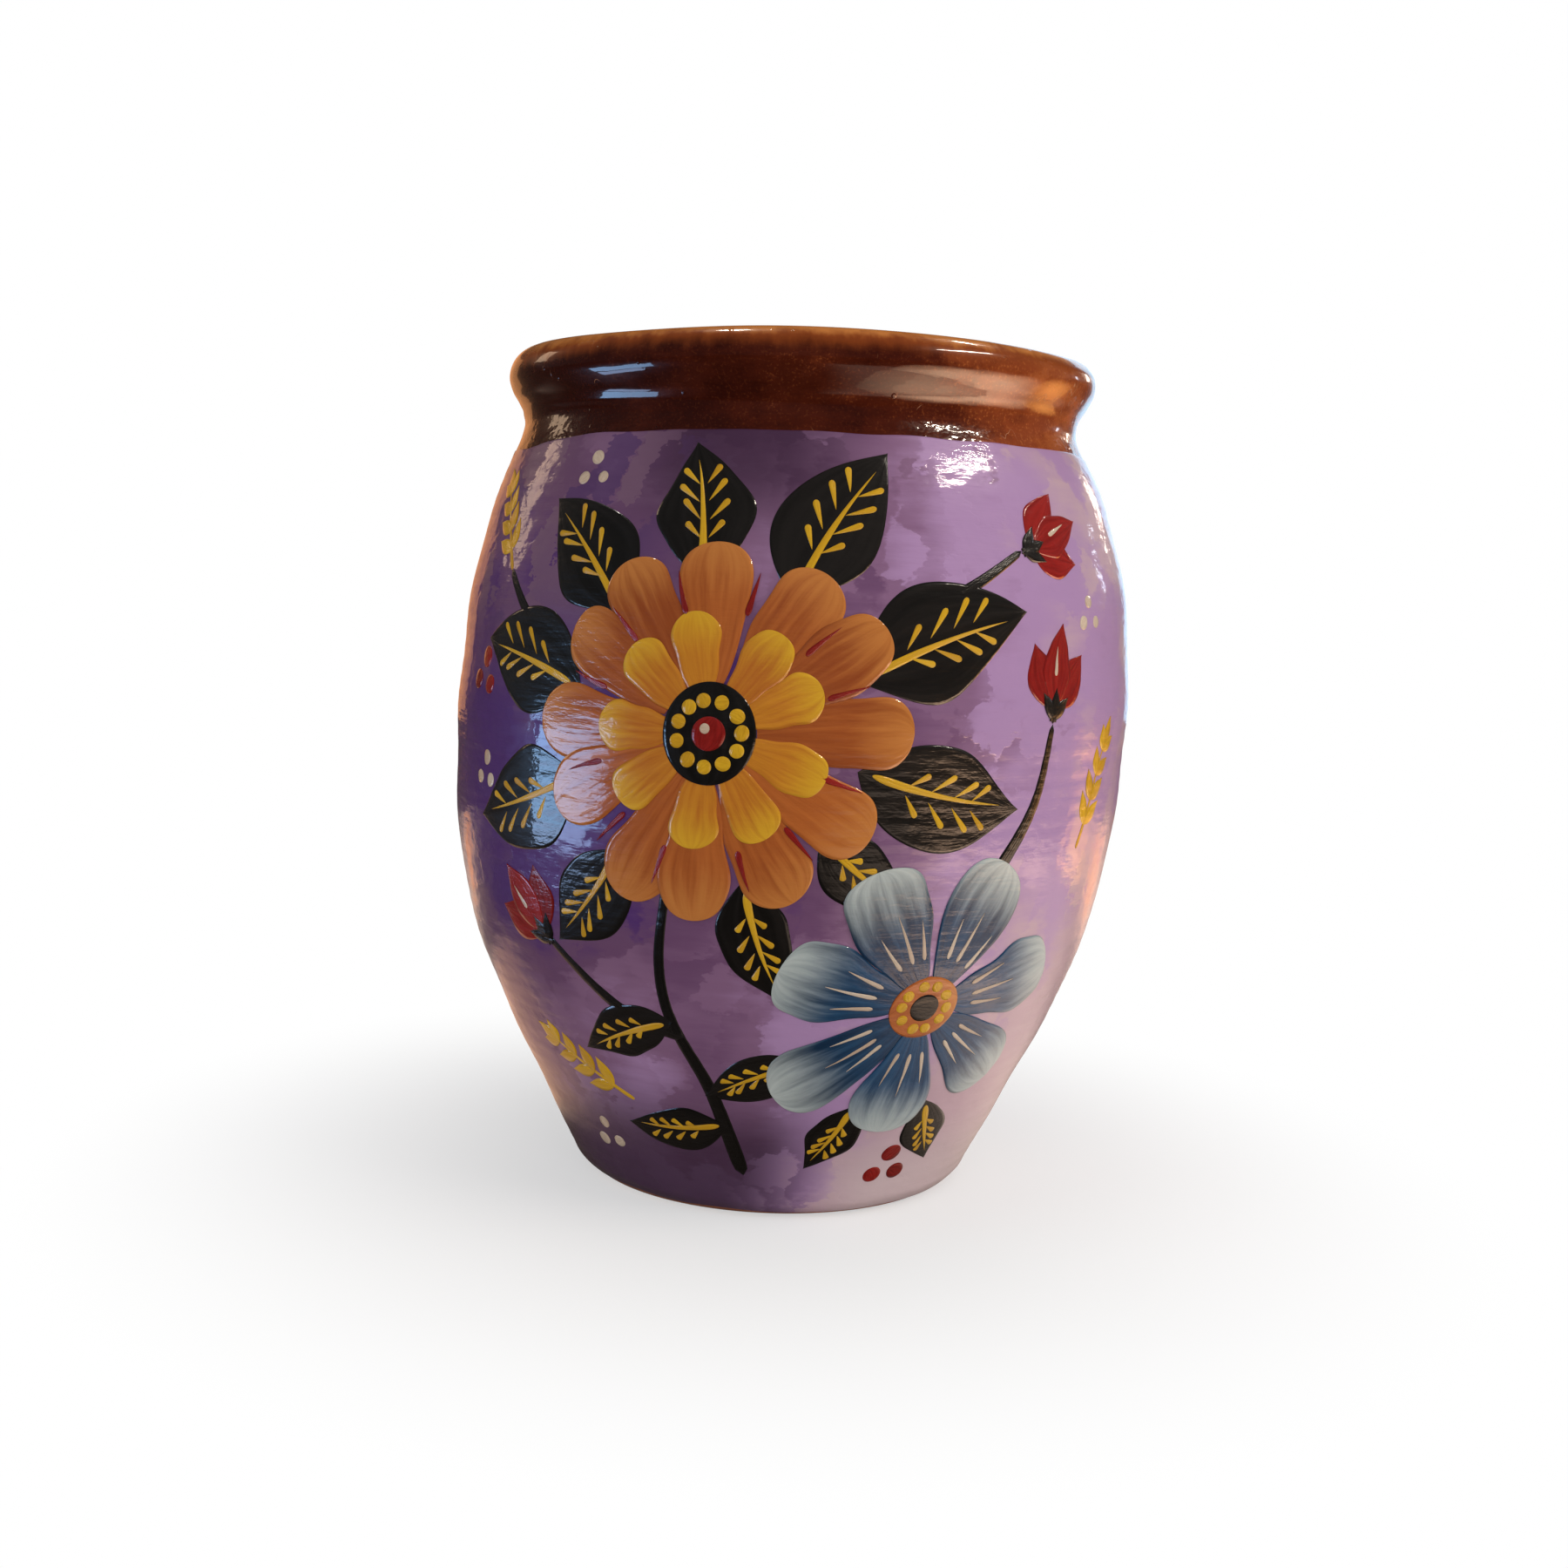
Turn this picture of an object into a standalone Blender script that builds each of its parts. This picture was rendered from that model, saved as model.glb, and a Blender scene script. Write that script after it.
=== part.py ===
"""Cantarito: a half-litre drinking pot of thrown red clay, without a handle.

The pot is one fired clay piece. Two coats sit on it: a brown glaze that lines the inside, rolls over
the lip and stops on the neck, and a purple paint coat from there down to the foot's edge.

Metres, +Z up. The origin is the middle of the flat underside.
"""

import math

import bpy
from mathutils import Vector
from mathutils.geometry import interpolate_bezier

# Clay pot: heights, radii and thicknesses
POT_HEIGHT = 0.1182
FOOT_FLAT_RADIUS = 0.0258
FOOT_ROUND = 0.0030
FLANK_LEAN = math.radians(24.8)
BELLY_RADIUS = 0.0483
BELLY_HEIGHT = 0.0674
NECK_RADIUS = 0.0394
NECK_DROP = 0.0087
LIP_OVERHANG = 0.0019
LIP_CROWN = 0.0029
WALL = 0.0048
FLOOR = 0.0065
FLOOR_ROUND = 0.0090

# How far each stretch of the wall keeps its direction before it bends
FLANK_REACH = 0.0287
BELLY_REACH_DOWN = 0.0320
BELLY_REACH_UP = 0.0294
NECK_REACH_DOWN = 0.0050
LIP_REACH = 0.0022

# Coats on the clay
GLAZE_COAT = 0.0005
PAINT_COAT = 0.0003
COAT_GAP = 0.0003
GLAZE_BAND = 0.0132
BARE_FOOT = 0.0012

# Facets: steps round the axis and along each stretch of the profile
TURN_STEPS = 40
FOOT_STEPS = 4
FLANK_STEPS = 9
SHOULDER_STEPS = 10
NECK_STEPS = 5
LIP_STEPS = 8
CORNER_STEPS = 5

ROUND_HANDLE = 2 / 3
AXIS_MERGE = 0.00001

CLAY_COLOUR = (0.42, 0.14, 0.055, 1.0)
CLAY_ROUGHNESS = 0.8
GLAZE_COLOUR = (0.055, 0.010, 0.005, 1.0)
GLAZE_ROUGHNESS = 0.12
PAINT_COLOUR = (0.13, 0.060, 0.19, 1.0)
PAINT_ROUGHNESS = 0.25

UP = Vector((0.0, 0.0, 1.0))


def point(radius, height):
    """A point of the turned profile, which lies in the XZ plane."""
    return Vector((radius, 0.0, height))


def span(start, start_reach, end_reach, end, steps):
    """A smooth stretch of profile. Each reach runs from its end along the tangent there."""
    return interpolate_bezier(start, start + start_reach, end + end_reach, end, steps)


def joined(*stretches):
    """One path from stretches whose ends meet, without the doubled points."""
    path = list(stretches[0])
    for stretch in stretches[1:]:
        path.extend(stretch[1:])
    return path


def offset(path, distance):
    """The path moved sideways. A positive distance leaves the clay: the paths run down the outside."""
    moved = []
    last = len(path) - 1
    for index, here in enumerate(path):
        along = path[min(index + 1, last)] - path[max(index - 1, 0)]
        side = Vector((-along.z, 0.0, along.x)).normalized()
        moved.append(here + side * distance)
    return moved


def at_height(path, height):
    """Where a path that runs down passes a height, as (index of the next point, point)."""
    for index in range(1, len(path)):
        above, below = path[index - 1], path[index]
        if below.z <= height <= above.z:
            share = (above.z - height) / (above.z - below.z)
            return index, above.lerp(below, share)
    raise ValueError(f"the wall has no point at height {height}")


def part_above(path, height):
    """The stretch of a path that runs down, from its start to a height."""
    index, cut = at_height(path, height)
    return path[:index] + [cut]


def part_below(path, height):
    """The stretch of a path that runs down, from a height to its end."""
    index, cut = at_height(path, height)
    return [cut] + path[index:]


def lip_to_neck():
    """The clay's outside from the widest ring of the lip down to the neck."""
    widest = point(NECK_RADIUS + LIP_OVERHANG, POT_HEIGHT - LIP_CROWN)
    neck = point(NECK_RADIUS, POT_HEIGHT - NECK_DROP)
    return span(widest, -UP * LIP_REACH, UP * LIP_REACH, neck, NECK_STEPS)


def neck_to_underside():
    """The clay's outside from the neck over the belly down to the edge of the flat underside."""
    lean = Vector((math.sin(FLANK_LEAN), 0.0, math.cos(FLANK_LEAN)))
    neck = point(NECK_RADIUS, POT_HEIGHT - NECK_DROP)
    belly = point(BELLY_RADIUS, BELLY_HEIGHT)
    centre = point(FOOT_FLAT_RADIUS, FOOT_ROUND)
    foot = []
    for step in range(FOOT_STEPS + 1):
        angle = FLANK_LEAN + (math.pi / 2 - FLANK_LEAN) * step / FOOT_STEPS
        foot.append(centre + point(math.cos(angle), -math.sin(angle)) * FOOT_ROUND)
    return joined(
        span(neck, -UP * NECK_REACH_DOWN, UP * BELLY_REACH_UP, belly, SHOULDER_STEPS),
        span(belly, -UP * BELLY_REACH_DOWN, lean * FLANK_REACH, foot[0], FLANK_STEPS),
        foot,
    )


def inside(upper, lower):
    """The clay's inside, from the middle of the floor up to the lip, a wall's thickness from the outside."""
    shifted = [ring - point(WALL, 0.0) for ring in upper]
    wall = part_above(joined(shifted, offset(lower, -WALL)), FLOOR + FLOOR_ROUND)
    top_of_corner = wall[-1]
    slope = (wall[-2] - top_of_corner).normalized()
    corner = top_of_corner - slope * (FLOOR_ROUND / slope.z)
    edge_of_floor = point(corner.x - FLOOR_ROUND, FLOOR)
    rounding = span(
        edge_of_floor,
        (corner - edge_of_floor) * ROUND_HANDLE,
        (corner - top_of_corner) * ROUND_HANDLE,
        top_of_corner,
        CORNER_STEPS,
    )
    return joined([point(0.0, FLOOR), edge_of_floor], rounding, wall[::-1])


def lip(inner_edge, outer_edge):
    """The rolled lip: half an ellipse from the inside of the wall over to its outside."""
    middle = (inner_edge + outer_edge) / 2
    half_width = (outer_edge.x - inner_edge.x) / 2
    arc = []
    for step in range(LIP_STEPS + 1):
        angle = math.pi * (1 - step / LIP_STEPS)
        arc.append(middle + Vector((half_width * math.cos(angle), 0.0, LIP_CROWN * math.sin(angle))))
    return arc


def coat(path, thickness):
    """The closed profile of a coat that lies on a stretch of the clay."""
    return offset(path, COAT_GAP + thickness) + offset(path, COAT_GAP)[::-1]


def material(name, colour, roughness):
    made = bpy.data.materials.new(name)
    made.use_nodes = True
    shader = made.node_tree.nodes["Principled BSDF"]
    shader.inputs["Base Color"].default_value = colour
    shader.inputs["Roughness"].default_value = roughness
    shader.inputs["Metallic"].default_value = 0.0
    return made


def turned(name, profile, closed, finish, collection):
    """A solid of revolution about Z. An open profile starts and ends on the axis."""
    edges = [(index, index + 1) for index in range(len(profile) - 1)]
    if closed:
        edges.append((len(profile) - 1, 0))
    mesh = bpy.data.meshes.new(name)
    mesh.from_pydata(profile, edges, [])
    made = bpy.data.objects.new(name, mesh)
    collection.objects.link(made)
    mesh.materials.append(finish)
    screw = made.modifiers.new("turn", "SCREW")
    screw.axis = "Z"
    screw.angle = 2 * math.pi
    screw.steps = TURN_STEPS
    screw.render_steps = TURN_STEPS
    screw.use_merge_vertices = True
    screw.merge_threshold = AXIS_MERGE
    screw.use_smooth_shade = True
    return made


def clear_scene():
    for old in list(bpy.data.objects):
        bpy.data.objects.remove(old)


def build():
    clear_scene()
    collection = bpy.data.collections.new("cantarito")
    bpy.context.scene.collection.children.link(collection)

    upper, lower = lip_to_neck(), neck_to_underside()
    outer = joined(upper, lower)
    inner = inside(upper, lower)
    rolled = lip(inner[-1], outer[0])
    glaze_edge = POT_HEIGHT - GLAZE_BAND

    clay = joined(inner, rolled, outer, [outer[-1], point(0.0, 0.0)])
    glazed = joined(inner, rolled, part_above(outer, glaze_edge + COAT_GAP / 2))
    painted = part_above(part_below(outer, glaze_edge - COAT_GAP / 2), BARE_FOOT)

    red_clay = material("red_clay", CLAY_COLOUR, CLAY_ROUGHNESS)
    brown_glaze = material("brown_glaze", GLAZE_COLOUR, GLAZE_ROUGHNESS)
    purple_paint = material("purple_paint", PAINT_COLOUR, PAINT_ROUGHNESS)
    turned("clay_body", clay, False, red_clay, collection)
    turned("brown_glaze", coat(glazed, GLAZE_COAT), False, brown_glaze, collection)
    turned("purple_paint", coat(painted, PAINT_COAT), True, purple_paint, collection)


build()
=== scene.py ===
"""Looks of the cantarito: hand-thrown clay, brown glaze, purple paint and a garland of painted flowers.

Metres, +Z up, in the CAD model's frame. The decorated front faces -Y. Azimuth runs from the front to the
right, and a length on the wall runs along it from the foot up.
"""

import math

import bmesh
import bpy
import numpy as np
from mathutils import Matrix, Vector


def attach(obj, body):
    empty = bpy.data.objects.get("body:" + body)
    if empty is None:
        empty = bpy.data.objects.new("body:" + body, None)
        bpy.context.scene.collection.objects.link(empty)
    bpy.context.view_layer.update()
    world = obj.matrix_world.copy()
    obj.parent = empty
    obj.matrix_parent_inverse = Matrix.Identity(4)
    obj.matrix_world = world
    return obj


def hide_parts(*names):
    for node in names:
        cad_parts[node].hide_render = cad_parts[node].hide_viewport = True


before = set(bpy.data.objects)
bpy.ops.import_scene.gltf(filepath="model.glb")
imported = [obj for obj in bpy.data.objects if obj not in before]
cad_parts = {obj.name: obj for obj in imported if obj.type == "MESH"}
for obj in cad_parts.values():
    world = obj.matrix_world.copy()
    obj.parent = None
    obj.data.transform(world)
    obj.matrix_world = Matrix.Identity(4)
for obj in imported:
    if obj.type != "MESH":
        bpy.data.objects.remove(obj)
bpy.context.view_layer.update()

MM = 0.001
TURN = 2 * math.pi

# The clay pot, as the solids have it
POT_HEIGHT = 118.2 * MM
FOOT_FLAT_RADIUS = 25.8 * MM
FOOT_ROUND = 3.0 * MM
FLANK_LEAN = math.radians(24.8)
BELLY_RADIUS = 48.3 * MM
BELLY_HEIGHT = 67.4 * MM
NECK_RADIUS = 39.4 * MM
NECK_DROP = 8.7 * MM
LIP_OVERHANG = 1.9 * MM
LIP_CROWN = 2.9 * MM
WALL = 4.8 * MM
FLOOR = 6.5 * MM
FLOOR_ROUND = 9.0 * MM
FLANK_REACH = 28.7 * MM
BELLY_REACH_DOWN = 32.0 * MM
BELLY_REACH_UP = 29.4 * MM
NECK_REACH_DOWN = 5.0 * MM
LIP_REACH = 2.2 * MM
ROUND_HANDLE = 2 / 3

# Coats, measured out from the clay
PAINT_FACE = 0.60 * MM
GLAZE_FACE = 0.80 * MM
GLAZE_UNDER_PAINT = 0.48 * MM
GLAZE_THINS_FROM = 109.6 * MM
GLAZE_THINS_TO = 107.2 * MM
GLAZE_END = 102.0 * MM
COAT_BACK = 0.10 * MM

# Edges of the paint
PAINT_TOP = 105.6 * MM
PAINT_TOP_TILT = 0.25 * MM
PAINT_TOP_DIP = 1.7 * MM
PAINT_TOP_DIP_AZIMUTH = math.radians(-68)
PAINT_TOP_DIP_WIDTH = math.radians(22)
PAINT_TOP_RAGGED = 0.13 * MM
PAINT_FOOT = 0.45 * MM
PAINT_FOOT_RAGGED = 0.16 * MM
EDGE_ROUND = 0.30 * MM
TOP_EDGE_DROP = 0.16 * MM
FOOT_FEATHER = 2.5 * MM
FOOT_FEATHER_DROP = 0.50 * MM
FOOT_EDGE_DROP = 0.14 * MM

# Marks of the hand
RIDGE_PITCH = 2.3 * MM
RIDGE_DEPTH = 0.016 * MM
SWELL_PITCH = 13.0 * MM
SWELL_DEPTH = 0.09 * MM
OVAL = 0.28 * MM
OVAL_TURN = 0.6
LEAN = 1.1 * MM
LEAN_GROWS = (38.0 * MM, 86.0 * MM)
LEAN_FADES = (98.0 * MM, 113.0 * MM)
LIP_MARKS_FROM = 104.0 * MM
LIP_WAVE = 0.16 * MM
LIP_TILT = 0.75 * MM
LIP_DIP = 0.60 * MM
LIP_FLARE = 0.55 * MM
LIP_FLARE_FROM = 109.0 * MM
LIP_FLAT = 0.65 * MM
LIP_FLAT_AZIMUTH = math.radians(50)
LIP_FLAT_WIDTH = math.radians(28)
INSIDE_PITCH = 7.5 * MM
INSIDE_DEPTH = 0.28 * MM
INSIDE_GROWS = (4.0 * MM, 16.0 * MM)
INSIDE_FADES = 12.0 * MM
WIRE_PITCH = 2.4 * MM
WIRE_DEPTH = 0.16 * MM
WIRE_BOW_RADIUS = 70.0 * MM
WIRE_BOW_SIDE = 18.0 * MM
WIRE_WAVER = 9.0 * MM
WIRE_RIM = 2.5 * MM

# Mesh fineness
COLUMNS = 360
PAINT_ROWS = 230
EDGE_ROWS = 8
BACK_ROWS = 24
CURVE_STEPS = 120
GLAZE_INSIDE_STEP = 1.0 * MM
GLAZE_LIP_STEP = 0.31 * MM
GLAZE_LIP_MARGIN = 4.0 * MM
GLAZE_BACK_STEP = 4.0 * MM
CLAY_OUTER_STEP = 1.2 * MM
CLAY_INNER_STEP = 2.5 * MM
CLAY_LIP_STEP = 0.8 * MM
UNDERSIDE_RINGS = 70

# Painted garland: azimuth and height of its flowers, and what strokes have in common
ORANGE_FLOWER = (-12, 68.0 * MM)
BLUE_FLOWER = (26, 33.0 * MM)
PAINT_STEP = 0.035 * MM
PAINT_CROWN = 0.025 * MM
PAINT_SINK = 0.05 * MM
GRID_STEP = 0.45 * MM
ALONG_LEAST = 14
ACROSS_LEAST = 5
KNOT_STEPS = 14
THINNEST = 0.01 * MM
THINNEST_STEM = 0.02 * MM
HAND_SEED = 11
WELD = 0.0001 * MM

# Camera, as the photograph was taken
CAMERA_PLACE = (0.0, -0.2695, 0.0865)
CAMERA_PITCH = 0.1093
CAMERA_ROLL = 0.0409
CAMERA_SENSOR = 36.0
CAMERA_LENS = 41.66

# Light
SOFT_WHITE = (1.0, 0.97, 0.94)
LAMP_WHITE = (1.0, 0.94, 0.84)
TABLE_GLOW = (1.0, 0.62, 0.38)


# Turned outline, as radius and height


UP = np.array((0.0, 1.0))
NECK = (NECK_RADIUS, POT_HEIGHT - NECK_DROP)


def bezier(start, start_reach, end_reach, end, steps=CURVE_STEPS):
    """A smooth stretch of outline. Each reach runs from its end along the tangent there."""
    t = np.linspace(0, 1, steps)[:, None]
    start, end = np.array(start), np.array(end)
    first, second = start + start_reach, end + end_reach
    return (1 - t) ** 3 * start + 3 * t * (1 - t) ** 2 * first + 3 * t ** 2 * (1 - t) * second + t ** 3 * end


def joined(*stretches):
    return np.vstack([stretches[0]] + [stretch[1:] for stretch in stretches[1:]])


def lengths(path):
    return np.concatenate([[0.0], np.cumsum(np.hypot(*np.diff(path, axis=0).T))])


def normals(path):
    """Unit normals of an outline that runs down its outer side, pointing out of the clay."""
    along = np.gradient(path, axis=0)
    side = np.column_stack([-along[:, 1], along[:, 0]])
    return side / np.hypot(*side.T)[:, None]


def offset(path, distance):
    return path + normals(path) * distance


def lip_to_neck():
    widest = (NECK_RADIUS + LIP_OVERHANG, POT_HEIGHT - LIP_CROWN)
    return bezier(widest, -UP * LIP_REACH, UP * LIP_REACH, NECK)


def neck_to_underside():
    lean = np.array((math.sin(FLANK_LEAN), math.cos(FLANK_LEAN)))
    belly = (BELLY_RADIUS, BELLY_HEIGHT)
    angle = np.linspace(FLANK_LEAN, math.pi / 2, CURVE_STEPS // 4)
    foot = np.column_stack([
        FOOT_FLAT_RADIUS + FOOT_ROUND * np.cos(angle),
        FOOT_ROUND - FOOT_ROUND * np.sin(angle),
    ])
    return joined(
        bezier(NECK, -UP * NECK_REACH_DOWN, UP * BELLY_REACH_UP, belly),
        bezier(belly, -UP * BELLY_REACH_DOWN, lean * FLANK_REACH, foot[0]),
        foot,
    )


def inside_outline():
    """The clay's inside, from the middle of the floor up to the lip."""
    shifted = lip_to_neck() - np.array((WALL, 0.0))
    wall = joined(shifted, offset(neck_to_underside(), -WALL))
    wall = wall[wall[:, 1] >= FLOOR + FLOOR_ROUND]
    top_of_corner = wall[-1]
    slope = wall[-2] - top_of_corner
    corner = top_of_corner - slope * ((top_of_corner[1] - FLOOR) / slope[1])
    edge = np.array((corner[0] - FLOOR_ROUND, FLOOR))
    floor = np.column_stack([np.linspace(0, edge[0], CURVE_STEPS // 4), np.full(CURVE_STEPS // 4, FLOOR)])
    rounding = bezier(
        edge, (corner - edge) * ROUND_HANDLE, (corner - top_of_corner) * ROUND_HANDLE, top_of_corner,
        CURVE_STEPS // 3,
    )
    return joined(floor, rounding, wall[::-1])


def lip_outline():
    """The rolled lip, from the inside of the wall over to its outside."""
    outer = lip_to_neck()[0]
    angle = np.linspace(math.pi, 0, CURVE_STEPS // 2)
    middle = outer - np.array((WALL / 2, 0.0))
    return middle + np.column_stack([WALL / 2 * np.cos(angle), LIP_CROWN * np.sin(angle)])


OUTER = joined(lip_to_neck(), neck_to_underside())
INSIDE = inside_outline()
LIP = lip_outline()
LIP_START = lengths(INSIDE)[-1]
LIP_END = LIP_START + lengths(LIP)[-1]
PAINTED = offset(OUTER, PAINT_FACE)[::-1]
PAINTED_LENGTH = lengths(PAINTED)
PAINTED_NORMAL = normals(PAINTED[::-1])[::-1]


def length_at(height):
    """How far up the wall a height lies, along the wall from the foot."""
    return np.interp(height, PAINTED[:, 1], PAINTED_LENGTH)


def radius_at(length):
    return np.interp(length, PAINTED_LENGTH, PAINTED[:, 0])


# Marks of the hand


def smooth(value, low, high):
    """0 below low, 1 above high and an even slope between."""
    share = np.clip((value - low) / (high - low), 0, 1)
    return share * share * (3 - 2 * share)


def ripple(azimuth, height, seed, wavelength, turns, terms=7):
    """Random waves between about -1 and 1 that close on themselves round the pot."""
    draw = np.random.default_rng(seed)
    total = np.zeros(np.broadcast(azimuth, height).shape)
    for _ in range(terms):
        count = draw.integers(-turns, turns + 1)
        pitch = wavelength * draw.uniform(0.7, 1.6)
        total = total + np.cos(count * azimuth + TURN * height / pitch + draw.uniform(0, TURN))
    return total / math.sqrt(terms)


def throwing_marks(azimuth, height):
    """How far the ridges of the potter's fingers stand out of the wall."""
    strength = 0.75 + 0.5 * ripple(azimuth, height, 1, 24 * MM, 3)
    ridge = np.cos(TURN * height / RIDGE_PITCH + azimuth + 1.6 * ripple(azimuth, height, 2, 16 * MM, 2))
    swell = ripple(azimuth, height, 3, SWELL_PITCH, 3)
    return RIDGE_DEPTH * strength * ridge + SWELL_DEPTH * swell


def thrown(azimuth, radius, height):
    """Points of the turned shape with the hand's unevenness: a little oval, leaning and wavy at the lip."""
    rise = smooth(height, 0.0, POT_HEIGHT)
    radius = radius + OVAL * rise * np.cos(2 * azimuth - OVAL_TURN)
    lip = smooth(height, LIP_MARKS_FROM, POT_HEIGHT)
    flare = smooth(height, LIP_FLARE_FROM, POT_HEIGHT - LIP_CROWN)
    radius = radius + LIP_FLARE * flare * (0.5 + 0.5 * np.sin(azimuth)) ** 2
    wave = 0.6 * np.cos(3 * azimuth - 0.5) + 0.35 * np.cos(7 * azimuth + 1.0)
    tilt = LIP_TILT * np.sin(azimuth) - LIP_DIP * np.cos(azimuth)
    pressed = smooth(height, POT_HEIGHT - LIP_CROWN, POT_HEIGHT) * LIP_FLAT
    pressed = pressed * np.exp(-((azimuth - LIP_FLAT_AZIMUTH) / LIP_FLAT_WIDTH) ** 2)
    lean = LEAN * smooth(height, *LEAN_GROWS) * (1 - smooth(height, *LEAN_FADES))
    x = radius * np.sin(azimuth) + lean
    y = -radius * np.cos(azimuth)
    z = height + lip * (tilt + LIP_WAVE * wave) - pressed
    return np.stack(np.broadcast_arrays(x, y, z), axis=-1)


def on_wall(azimuth, length, lift):
    """Points on the painted outside, lifted off it."""
    radius = radius_at(length)
    height = np.interp(length, PAINTED_LENGTH, PAINTED[:, 1])
    out = np.interp(length, PAINTED_LENGTH, PAINTED_NORMAL[:, 0])
    up = np.interp(length, PAINTED_LENGTH, PAINTED_NORMAL[:, 1])
    lift = lift + throwing_marks(azimuth, height)
    return thrown(azimuth, radius + out * lift, height + up * lift)


# Meshes


def mesh_object(name, points, faces, finish, attributes=None):
    mesh = bpy.data.meshes.new(name)
    mesh.from_pydata(points.tolist(), [], faces)
    for label, values in (attributes or {}).items():
        layer = mesh.attributes.new(label, "FLOAT_VECTOR", "POINT")
        layer.data.foreach_set("vector", np.asarray(values, np.float32).ravel())
    mesh.materials.append(finish)
    mesh.shade_smooth()
    made = bpy.data.objects.new(name, mesh)
    bpy.context.scene.collection.objects.link(made)
    return made


def turned(name, rings, closed, finish):
    """A mesh from rings of points, each a row of COLUMNS. An open one starts and ends on the axis."""
    rows = len(rings)
    columns = np.arange(COLUMNS)
    after = np.roll(columns, -1)
    if closed:
        points = rings.reshape(-1, 3)
        starts = np.arange(rows) * COLUMNS
        pairs = list(zip(starts, np.roll(starts, -1)))
    else:
        points = np.vstack([rings[0].mean(0)[None], rings[1:-1].reshape(-1, 3), rings[-1].mean(0)[None]])
        starts = 1 + np.arange(rows - 2) * COLUMNS
        pairs = list(zip(starts[:-1], starts[1:]))
    faces = []
    for low, high in pairs:
        faces.extend(np.column_stack([low + columns, high + columns, high + after, low + after]).tolist())
    if not closed:
        last = np.full_like(columns, len(points) - 1)
        faces.extend(np.column_stack([np.zeros_like(columns), 1 + columns, 1 + after]).tolist())
        faces.extend(np.column_stack([last, starts[-1] + after, starts[-1] + columns]).tolist())
    return mesh_object(name, points, faces, finish)


def around():
    return np.arange(COLUMNS) * TURN / COLUMNS - math.pi


def edge_spacing(rows):
    """Rows from 0 to 1, closer together at 0."""
    return 1 - np.cos(np.linspace(0, math.pi / 2, rows, endpoint=False))


# Materials


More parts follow.
